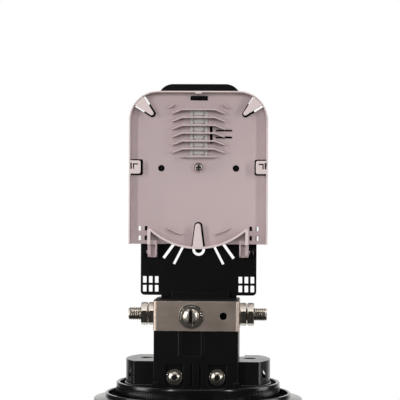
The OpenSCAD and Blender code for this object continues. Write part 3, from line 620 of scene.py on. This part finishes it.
low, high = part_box("clamp_screw")
clamp_r, clamp_x, clamp_z = (high.z - low.z) / 2, (low.x + high.x) / 2, (low.z + high.z) / 2
clamp = (clamp_x, clamp_z, low.y, high.y)
clamp_points = screw_points(clamp, low.y + 3.2 * MM, clamp_r, 2.95 * MM, slot_recess, 2.4 * MM)
screw_piece("clamp_screw_slotted", "clamp_screw", [clamp_points], BODY)

# ---------------------------------------------------------------------------
# Studs: turned steel with a rolled thread, fixed in the bracket's two sides,
# with two thin nuts of cold-drawn steel on each to hold a strength member.
# ---------------------------------------------------------------------------
turned_grain = (900.0, 120.0, 120.0)
turned_steel = metal_material("turned_stud_steel", linear(200, 193, 184), 0.28, turned_grain, bump=0.08)
nut_tint, nut_grain = linear(196, 188, 178), (500.0, 260.0, 260.0)
nut_steel = metal_material("cold_drawn_nut_steel", nut_tint, 0.2, nut_grain, spread=0.12, bump=0.05)


def stud(node, name, side):
    """A threaded rod along X; side is -1 for the left and 1 for the right.

    Radius = crest - depth * wave, where wave is a triangle wave of (distance / pitch - turn) with its
    crests and roots cut flat. The outer end is chamfered.
    """
    crest, depth, pitch, chamfer = 5.0 * MM, 0.62 * MM, 1.5 * MM, 0.9 * MM
    rows_per_pitch, wave_gain, crest_flat = 10, 1.35, 0.15
    low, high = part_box(node)
    inner = low.x if side > 0 else high.x
    length = high.x - low.x
    turn = np.linspace(0, 2 * np.pi, 48, endpoint=False)[:, None]
    along = np.linspace(0, length, int(length / pitch * rows_per_pitch))[None]
    wave = np.abs(((along / pitch - turn / (2 * np.pi)) % 1) * 2 - 1)
    radius = crest - depth * np.clip(wave * wave_gain - crest_flat, 0, 1)
    radius = np.minimum(radius, crest - chamfer + np.clip(length - along, 0, chamfer))
    y = (low.y + high.y) / 2 + radius * np.cos(turn)
    z = (low.z + high.z) / 2 + radius * np.sin(turn)
    points = np.stack([inner + side * along + 0 * turn, y, z], -1)
    hang(name, grid_mesh(name, points, closed=False), node, turned_steel, BODY)


stud("stud_left", "stud_left_thread", -1)
stud("stud_right", "stud_right_thread", 1)
eased_copy("thin_nuts", "thin_nut_set", nut_steel, BODY, 0.3 * MM)

# ---------------------------------------------------------------------------
# Carrier plate: a flat black moulding with slots for ties. Two plated screws
# hold its neck to the column, and it carries the tray's hinge and top hook.
# ---------------------------------------------------------------------------
eased_copy("carrier_plate", "carrier_plate_moulding", satin_black, BODY, 0.25 * MM)
eased_copy("plate_screws", "plate_screw_pair", zinc_steel, BODY, 0.25 * MM)

# ---------------------------------------------------------------------------
# Splice tray: one thin-walled mauve-grey moulding that swings on the carrier
# plate. A paler insert with spring fingers is pressed in under its comb, and a
# captive screw in its floor locks it to the plate.
# ---------------------------------------------------------------------------
TRAY = "tray"
# Object Y where the tray's painted rim highlight starts and where it is full.
RIM_START_Y, RIM_FULL_Y = -15.0 * MM, -15.9 * MM

tray_plastic = moulded_material("mauve_grey_plastic", linear(188, 170, 171), 0.4, variation=0.07, bump=0.05)
holder_plastic = moulded_material("pale_green_grey_plastic", linear(190, 188, 184), 0.38)


def painted_rim_highlight(mat, tint):
    """Painted highlight on the faces nearest the camera, the thin rims and tabs: the colour goes to tint from
    RIM_START_Y to RIM_FULL_Y in Object Y.
    """
    tree, shader, plain = repaint(mat)
    place = add_node(tree, "SeparateXYZ", {0: add_node(tree, "TexCoord").outputs["Object"]})
    share = add_ramp(tree, place.outputs["Y"], RIM_START_Y, RIM_FULL_Y, 0, 1, "LINEAR")
    mixed = add_node(tree, "Mix", {"Factor": share, 6: plain, 7: tint}, data_type="RGBA")
    connect(tree, shader, {"Base Color": mixed.outputs[2]})


# The tray's rims and tabs at rim height get a painted highlight: a paler colour towards the camera.
painted_rim_highlight(tray_plastic, linear(212, 197, 195))
eased_copy("splice_tray", "splice_tray_moulding", tray_plastic, TRAY, 0.3 * MM)
eased_copy("splice_holder", "splice_holder_insert", holder_plastic, TRAY, 0.12 * MM)


def cross_recess(across, up, head_r):
    """How far a point lies inside either bar of a cross, each 1.1 mm wide and 0.6 head_r long each way."""
    half_width, reach = 0.55 * MM, 0.6 * head_r
    upright = np.minimum(half_width - np.abs(across), reach - np.abs(up))
    level = np.minimum(half_width - np.abs(up), reach - np.abs(across))
    return np.maximum(upright, level)


low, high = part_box("tray_screw")
tray_screw_r, tray_screw_z = (high.z - low.z) / 2, (low.z + high.z) / 2
captive = (0, tray_screw_z, low.y, high.y)
captive_points = screw_points(captive, low.y + 2.2 * MM, tray_screw_r, 1.5 * MM, cross_recess, 1.2 * MM)
screw_piece("tray_screw_captive", "tray_screw", [captive_points], TRAY)
